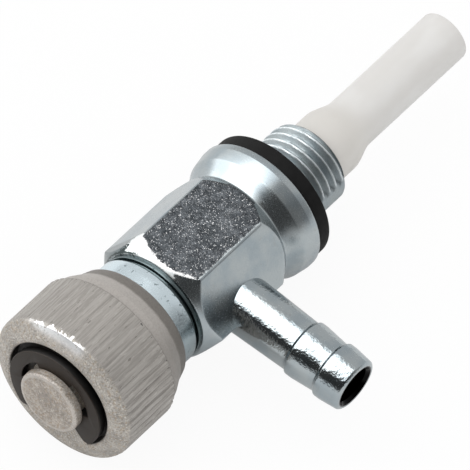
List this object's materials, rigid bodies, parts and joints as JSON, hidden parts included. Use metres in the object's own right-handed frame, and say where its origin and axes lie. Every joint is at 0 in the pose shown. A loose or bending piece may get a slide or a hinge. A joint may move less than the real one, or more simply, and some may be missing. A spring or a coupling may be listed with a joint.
{
  "type": "fuel tap",
  "caption": "Screw-down fuel tap with a hexagonal metal body, angled hose barb, knurled knob, threaded tank connection with gasket, and a translucent stand pipe.",
  "frame": {"origin": "on the main axis, in the gasket face that the tank presses on", "axes": "+X along the main axis out of the tank thread and stand pipe, -Y along the hose barb, +Z out of the rough marked flat of the hexagon"},
  "size_m": [0.0794, 0.0374, 0.022],
  "materials": {
    "zinc_plate": "bright zinc plate, rough forged upper flat",
    "cast_alloy": "matt die cast",
    "clip_steel": "dark oxide",
    "rubber": "matt",
    "pipe_plastic": "translucent, natural",
    "nipple_brass": "turned"
  },
  "bodies": {
    "tap_body": {"valve_body": "zinc_plate", "inlet_nipple": "nipple_brass", "stand_pipe": "pipe_plastic", "tank_gasket": "rubber"},
    "valve": {"spindle": "cast_alloy", "seat_disc": "rubber", "spindle_o_ring_inner": "rubber", "spindle_o_ring_outer": "rubber"},
    "knob": {"knob": "cast_alloy", "e_clip": "clip_steel"}
  },
  "joints": [
    {"name": "spindle_lift", "type": "slide", "parent": "tap_body", "child": "valve", "axis": [-1, 0, 0], "range_m": [0, 0.0023]},
    {"name": "knob_turn", "type": "hinge", "parent": "valve", "child": "knob", "pos_m": [-0.035, 0, 0], "axis": [-1, 0, 0], "range_deg": [0, 540]}
  ],
  "couplings": [
    {"joint": "spindle_lift", "follows": "knob_turn", "m_per_rad": 0.00023873}
  ]
}
